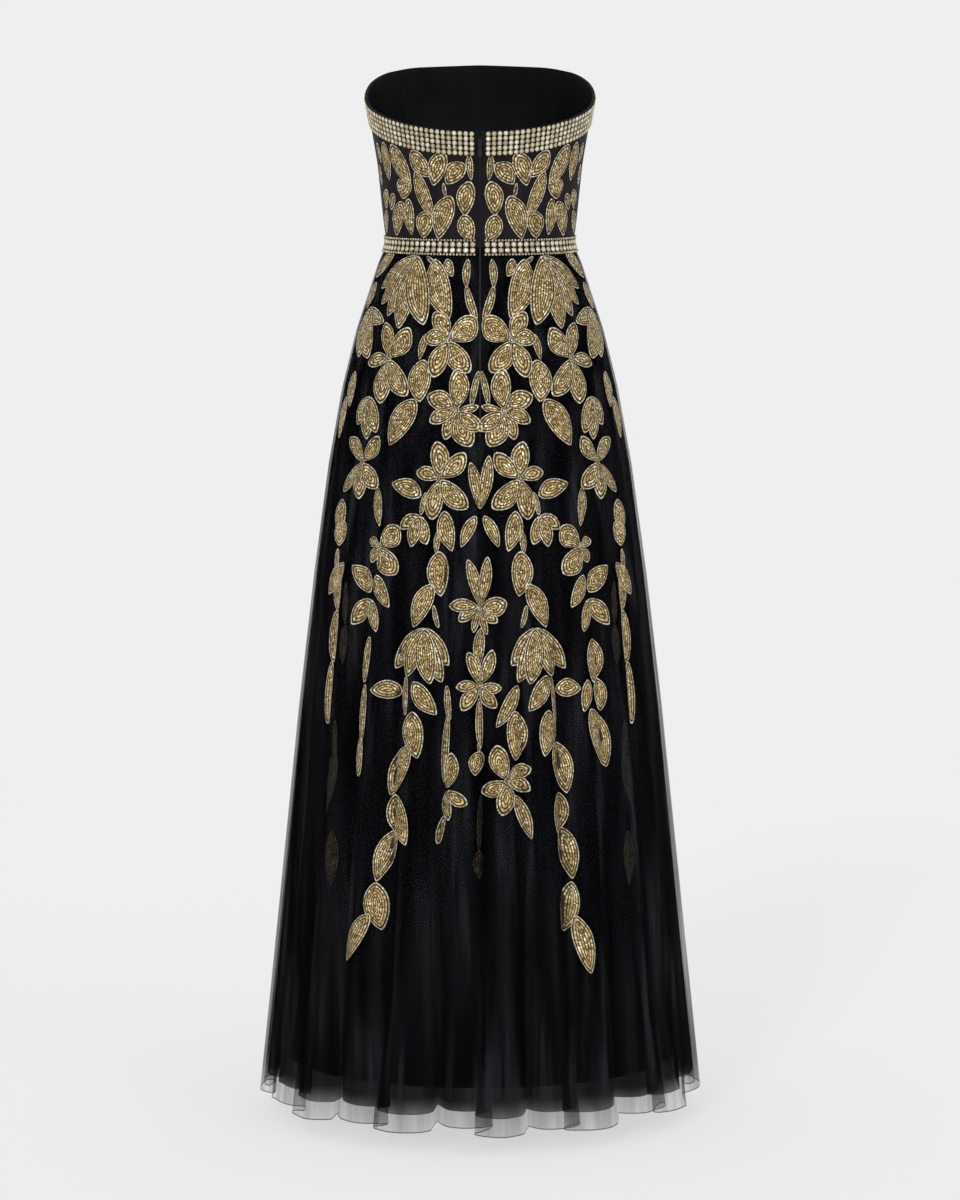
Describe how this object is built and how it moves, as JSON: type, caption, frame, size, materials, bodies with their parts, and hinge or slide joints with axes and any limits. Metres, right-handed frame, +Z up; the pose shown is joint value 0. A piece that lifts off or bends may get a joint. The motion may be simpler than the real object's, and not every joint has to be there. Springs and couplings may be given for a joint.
{
  "type": "strapless a-line gown",
  "caption": "Floor-length strapless a-line gown with a fitted bodice, tulle skirt over a lining, beaded leaf and flower applique and a back zip.",
  "frame": {"origin": "the centre of the waist at the level of the waist seam, where the wearer's waist holds the gown", "axes": "+Z up along the body; the front faces -Y and the back with the zip faces +Y; +X is the wearer's left"},
  "size_m": [0.5747, 0.4951, 1.329],
  "materials": {
    "bodice_satin": "black net over satin",
    "lining_satin": "soft black lining satin",
    "net": "fine black tulle",
    "gold_beadwork": "rows of small gold and pale beads",
    "stones": "faceted pale gold stones in settings",
    "zip_tape": "woven tape",
    "zip_metal": "dark enamelled metal"
  },
  "bodies": {
    "gown": {"bodice_front": "bodice_satin", "bodice_back_left": "bodice_satin", "bodice_back_right": "bodice_satin", "bodice_lining": "lining_satin", "neckline_trim": "stones", "waist_trim": "stones", "overlay_front": "net", "overlay_back": "net", "tulle_underskirt": "net", "skirt_lining_front": "lining_satin", "skirt_lining_back_left": "lining_satin", "skirt_lining_back_right": "lining_satin", "zip_tape": "zip_tape", "zip_slider": "zip_metal"},
    "pull": {"zip_pull": "zip_metal"}
  },
  "joints": [
    {"name": "pull_swing", "type": "hinge", "parent": "gown", "child": "pull", "pos_m": [0, 0.10665, 0.13057], "axis": [1, 0, 0], "range_deg": [0, 165]}
  ]
}
